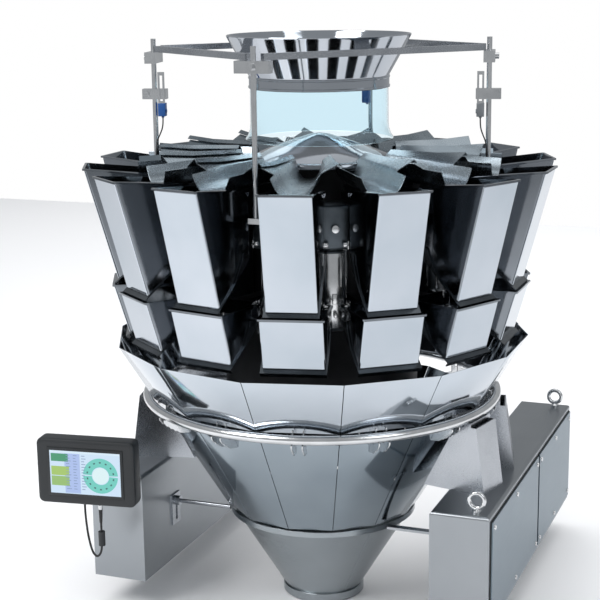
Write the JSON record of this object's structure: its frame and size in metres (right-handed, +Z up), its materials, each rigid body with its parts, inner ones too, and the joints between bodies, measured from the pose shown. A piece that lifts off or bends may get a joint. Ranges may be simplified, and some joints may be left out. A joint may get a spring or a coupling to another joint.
{
  "type": "multihead combination weigher",
  "caption": "Ring of hinged feed and weigh hoppers under a vibrating cone, emptying through faceted chutes into a funnel, on two cabinets with a tilting display.",
  "frame": {"origin": "centre of the outlet collar at its lower edge, on the axis of the ring of heads", "axes": "+Z up, +X to the right across the two cabinets, -Y towards the operator, where a gap between two heads faces"},
  "size_m": [1.1232, 1.1873, 1.371],
  "materials": {
    "polished_steel": "mirror-polished stainless sheet",
    "gate_steel": "bright rolled stainless sheet",
    "pan_steel": "dull rolled stainless sheet",
    "satin_steel": "satin stainless",
    "brushed_cone": "circumferentially brushed stainless",
    "cabinet_steel": "fine satin stainless sheet",
    "bright_fittings": "turned and polished fittings",
    "dark_housing": "dark anodised housings",
    "drive_cover": "satin cast covers",
    "black_rubber": "matt gasket rubber",
    "clear_acrylic": "clear bluish sheet",
    "sensor_blue": "blue moulded plastic",
    "black_plastic": "fine-textured black housing",
    "screen_glass": "lit glass screen",
    "cable_black": "flexible black jacket"
  },
  "bodies": {
    "root": {"cabinet_covers": "cabinet_steel", "cabinet_gaskets": "black_rubber", "centre_drum": "dark_housing", "chute_ring": "bright_fittings", "discharge_funnel": "brushed_cone", "discharge_stays": "satin_steel", "display_bracket": "satin_steel", "drive_units": "drive_cover", "feed_hoppers": "polished_steel", "fittings": "bright_fittings", "frame_bars": "satin_steel", "frame_posts": "bright_fittings", "hopper_hangers": "dark_housing", "infeed_cylinder": "clear_acrylic", "infeed_funnel": "polished_steel", "left_cabinet": "cabinet_steel", "lower_chutes": "polished_steel", "right_cabinet": "cabinet_steel", "sensor_bodies": "sensor_blue", "sensor_cable_left": "cable_black", "sensor_cable_right": "cable_black", "sensor_mounts": "satin_steel", "support_arms": "satin_steel", "upper_chutes": "polished_steel", "vibrators": "dark_housing", "weigh_hoppers": "polished_steel"},
    "feeder_pans": {"feeder_pans": "pan_steel"},
    "dispersion_cone": {"dispersion_cone": "polished_steel"},
    "display": {"display_housing": "black_plastic", "display_screen": "screen_glass", "display_cable": "cable_black", "cable_ferrite": "cable_black"},
    "feed_gate_01": {"feed_gate_01": "gate_steel"},
    "weigh_gate_01": {"weigh_gate_01": "gate_steel"},
    "feed_gate_02": {"feed_gate_02": "gate_steel"},
    "weigh_gate_02": {"weigh_gate_02": "gate_steel"},
    "feed_gate_03": {"feed_gate_03": "gate_steel"},
    "weigh_gate_03": {"weigh_gate_03": "gate_steel"},
    "feed_gate_04": {"feed_gate_04": "gate_steel"},
    "weigh_gate_04": {"weigh_gate_04": "gate_steel"},
    "feed_gate_05": {"feed_gate_05": "gate_steel"},
    "weigh_gate_05": {"weigh_gate_05": "gate_steel"},
    "feed_gate_06": {"feed_gate_06": "gate_steel"},
    "weigh_gate_06": {"weigh_gate_06": "gate_steel"},
    "feed_gate_07": {"feed_gate_07": "gate_steel"},
    "weigh_gate_07": {"weigh_gate_07": "gate_steel"},
    "feed_gate_08": {"feed_gate_08": "gate_steel"},
    "weigh_gate_08": {"weigh_gate_08": "gate_steel"},
    "feed_gate_09": {"feed_gate_09": "gate_steel"},
    "weigh_gate_09": {"weigh_gate_09": "gate_steel"},
    "feed_gate_10": {"feed_gate_10": "gate_steel"},
    "weigh_gate_10": {"weigh_gate_10": "gate_steel"},
    "feed_gate_11": {"feed_gate_11": "gate_steel"},
    "weigh_gate_11": {"weigh_gate_11": "gate_steel"},
    "feed_gate_12": {"feed_gate_12": "gate_steel"},
    "weigh_gate_12": {"weigh_gate_12": "gate_steel"},
    "feed_gate_13": {"feed_gate_13": "gate_steel"},
    "weigh_gate_13": {"weigh_gate_13": "gate_steel"},
    "feed_gate_14": {"feed_gate_14": "gate_steel"},
    "weigh_gate_14": {"weigh_gate_14": "gate_steel"}
  },
  "joints": [
    {"name": "feed_gate_01_hinge", "type": "hinge", "parent": "root", "child": "feed_gate_01", "pos_m": [0.08567, -0.37535, 0.912], "axis": [0.9749, 0.2225, 0], "range_deg": [0, 48], "stiffness_Nm_per_rad": 0.5, "springref_deg": -68.75},
    {"name": "weigh_gate_01_hinge", "type": "hinge", "parent": "root", "child": "weigh_gate_01", "pos_m": [0.08478, -0.37145, 0.764], "axis": [0.9749, 0.2225, 0], "range_deg": [0, 48], "stiffness_Nm_per_rad": 0.5, "springref_deg": -68.75},
    {"name": "feed_gate_02_hinge", "type": "hinge", "parent": "root", "child": "feed_gate_02", "pos_m": [0.24004, -0.30101, 0.912], "axis": [0.7818, 0.6235, 0], "range_deg": [0, 48], "stiffness_Nm_per_rad": 0.5, "springref_deg": -68.75},
    {"name": "weigh_gate_02_hinge", "type": "hinge", "parent": "root", "child": "weigh_gate_02", "pos_m": [0.23755, -0.29788, 0.764], "axis": [0.7818, 0.6235, 0], "range_deg": [0, 48], "stiffness_Nm_per_rad": 0.5, "springref_deg": -68.75},
    {"name": "feed_gate_03_hinge", "type": "hinge", "parent": "root", "child": "feed_gate_03", "pos_m": [0.34687, -0.16705, 0.912], "axis": [0.4339, 0.901, 0], "range_deg": [0, 48], "stiffness_Nm_per_rad": 0.5, "springref_deg": -68.75},
    {"name": "weigh_gate_03_hinge", "type": "hinge", "parent": "root", "child": "weigh_gate_03", "pos_m": [0.34327, -0.16531, 0.764], "axis": [0.4339, 0.901, 0], "range_deg": [0, 48], "stiffness_Nm_per_rad": 0.5, "springref_deg": -68.75},
    {"name": "feed_gate_04_hinge", "type": "hinge", "parent": "root", "child": "feed_gate_04", "pos_m": [0.385, 0, 0.912], "axis": [0, 1, 0], "range_deg": [0, 48], "stiffness_Nm_per_rad": 0.5, "springref_deg": -68.75},
    {"name": "weigh_gate_04_hinge", "type": "hinge", "parent": "root", "child": "weigh_gate_04", "pos_m": [0.381, 0, 0.764], "axis": [0, 1, 0], "range_deg": [0, 48], "stiffness_Nm_per_rad": 0.5, "springref_deg": -68.75},
    {"name": "feed_gate_05_hinge", "type": "hinge", "parent": "root", "child": "feed_gate_05", "pos_m": [0.34687, 0.16705, 0.912], "axis": [-0.4339, 0.901, 0], "range_deg": [0, 48], "stiffness_Nm_per_rad": 0.5, "springref_deg": -68.75},
    {"name": "weigh_gate_05_hinge", "type": "hinge", "parent": "root", "child": "weigh_gate_05", "pos_m": [0.34327, 0.16531, 0.764], "axis": [-0.4339, 0.901, 0], "range_deg": [0, 48], "stiffness_Nm_per_rad": 0.5, "springref_deg": -68.75},
    {"name": "feed_gate_06_hinge", "type": "hinge", "parent": "root", "child": "feed_gate_06", "pos_m": [0.24004, 0.30101, 0.912], "axis": [-0.7818, 0.6235, 0], "range_deg": [0, 48], "stiffness_Nm_per_rad": 0.5, "springref_deg": -68.75},
    {"name": "weigh_gate_06_hinge", "type": "hinge", "parent": "root", "child": "weigh_gate_06", "pos_m": [0.23755, 0.29788, 0.764], "axis": [-0.7818, 0.6235, 0], "range_deg": [0, 48], "stiffness_Nm_per_rad": 0.5, "springref_deg": -68.75},
    {"name": "feed_gate_07_hinge", "type": "hinge", "parent": "root", "child": "feed_gate_07", "pos_m": [0.08567, 0.37535, 0.912], "axis": [-0.9749, 0.2225, 0], "range_deg": [0, 48], "stiffness_Nm_per_rad": 0.5, "springref_deg": -68.75},
    {"name": "weigh_gate_07_hinge", "type": "hinge", "parent": "root", "child": "weigh_gate_07", "pos_m": [0.08478, 0.37145, 0.764], "axis": [-0.9749, 0.2225, 0], "range_deg": [0, 48], "stiffness_Nm_per_rad": 0.5, "springref_deg": -68.75},
    {"name": "feed_gate_08_hinge", "type": "hinge", "parent": "root", "child": "feed_gate_08", "pos_m": [-0.08567, 0.37535, 0.912], "axis": [-0.9749, -0.2225, 0], "range_deg": [0, 48], "stiffness_Nm_per_rad": 0.5, "springref_deg": -68.75},
    {"name": "weigh_gate_08_hinge", "type": "hinge", "parent": "root", "child": "weigh_gate_08", "pos_m": [-0.08478, 0.37145, 0.764], "axis": [-0.9749, -0.2225, 0], "range_deg": [0, 48], "stiffness_Nm_per_rad": 0.5, "springref_deg": -68.75},
    {"name": "feed_gate_09_hinge", "type": "hinge", "parent": "root", "child": "feed_gate_09", "pos_m": [-0.24004, 0.30101, 0.912], "axis": [-0.7818, -0.6235, 0], "range_deg": [0, 48], "stiffness_Nm_per_rad": 0.5, "springref_deg": -68.75},
    {"name": "weigh_gate_09_hinge", "type": "hinge", "parent": "root", "child": "weigh_gate_09", "pos_m": [-0.23755, 0.29788, 0.764], "axis": [-0.7818, -0.6235, 0], "range_deg": [0, 48], "stiffness_Nm_per_rad": 0.5, "springref_deg": -68.75},
    {"name": "feed_gate_10_hinge", "type": "hinge", "parent": "root", "child": "feed_gate_10", "pos_m": [-0.34687, 0.16705, 0.912], "axis": [-0.4339, -0.901, 0], "range_deg": [0, 48], "stiffness_Nm_per_rad": 0.5, "springref_deg": -68.75},
    {"name": "weigh_gate_10_hinge", "type": "hinge", "parent": "root", "child": "weigh_gate_10", "pos_m": [-0.34327, 0.16531, 0.764], "axis": [-0.4339, -0.901, 0], "range_deg": [0, 48], "stiffness_Nm_per_rad": 0.5, "springref_deg": -68.75},
    {"name": "feed_gate_11_hinge", "type": "hinge", "parent": "root", "child": "feed_gate_11", "pos_m": [-0.385, 0, 0.912], "axis": [0, -1, 0], "range_deg": [0, 48], "stiffness_Nm_per_rad": 0.5, "springref_deg": -68.75},
    {"name": "weigh_gate_11_hinge", "type": "hinge", "parent": "root", "child": "weigh_gate_11", "pos_m": [-0.381, 0, 0.764], "axis": [0, -1, 0], "range_deg": [0, 48], "stiffness_Nm_per_rad": 0.5, "springref_deg": -68.75},
    {"name": "feed_gate_12_hinge", "type": "hinge", "parent": "root", "child": "feed_gate_12", "pos_m": [-0.34687, -0.16705, 0.912], "axis": [0.4339, -0.901, 0], "range_deg": [0, 48], "stiffness_Nm_per_rad": 0.5, "springref_deg": -68.75},
    {"name": "weigh_gate_12_hinge", "type": "hinge", "parent": "root", "child": "weigh_gate_12", "pos_m": [-0.34327, -0.16531, 0.764], "axis": [0.4339, -0.901, 0], "range_deg": [0, 48], "stiffness_Nm_per_rad": 0.5, "springref_deg": -68.75},
    {"name": "feed_gate_13_hinge", "type": "hinge", "parent": "root", "child": "feed_gate_13", "pos_m": [-0.24004, -0.30101, 0.912], "axis": [0.7818, -0.6235, 0], "range_deg": [0, 48], "stiffness_Nm_per_rad": 0.5, "springref_deg": -68.75},
    {"name": "weigh_gate_13_hinge", "type": "hinge", "parent": "root", "child": "weigh_gate_13", "pos_m": [-0.23755, -0.29788, 0.764], "axis": [0.7818, -0.6235, 0], "range_deg": [0, 48], "stiffness_Nm_per_rad": 0.5, "springref_deg": -68.75},
    {"name": "feed_gate_14_hinge", "type": "hinge", "parent": "root", "child": "feed_gate_14", "pos_m": [-0.08567, -0.37535, 0.912], "axis": [0.9749, -0.2225, 0], "range_deg": [0, 48], "stiffness_Nm_per_rad": 0.5, "springref_deg": -68.75},
    {"name": "weigh_gate_14_hinge", "type": "hinge", "parent": "root", "child": "weigh_gate_14", "pos_m": [-0.08478, -0.37145, 0.764], "axis": [0.9749, -0.2225, 0], "range_deg": [0, 48], "stiffness_Nm_per_rad": 0.5, "springref_deg": -68.75},
    {"name": "pan_vibration", "type": "slide", "parent": "root", "child": "feeder_pans", "axis": [0, 0, 1], "range_m": [-0.0005, 0.0005], "stiffness_N_per_m": 400000, "springref_m": 0.00017},
    {"name": "cone_vibration", "type": "slide", "parent": "root", "child": "dispersion_cone", "axis": [0, 0, 1], "range_m": [-0.0005, 0.0005], "stiffness_N_per_m": 400000, "springref_m": 0.00013},
    {"name": "display_tilt", "type": "hinge", "parent": "root", "child": "display", "pos_m": [-0.44919, -0.33464, 0.38], "axis": [0.9903, 0.1392, 0], "range_deg": [-15, 8]}
  ]
}
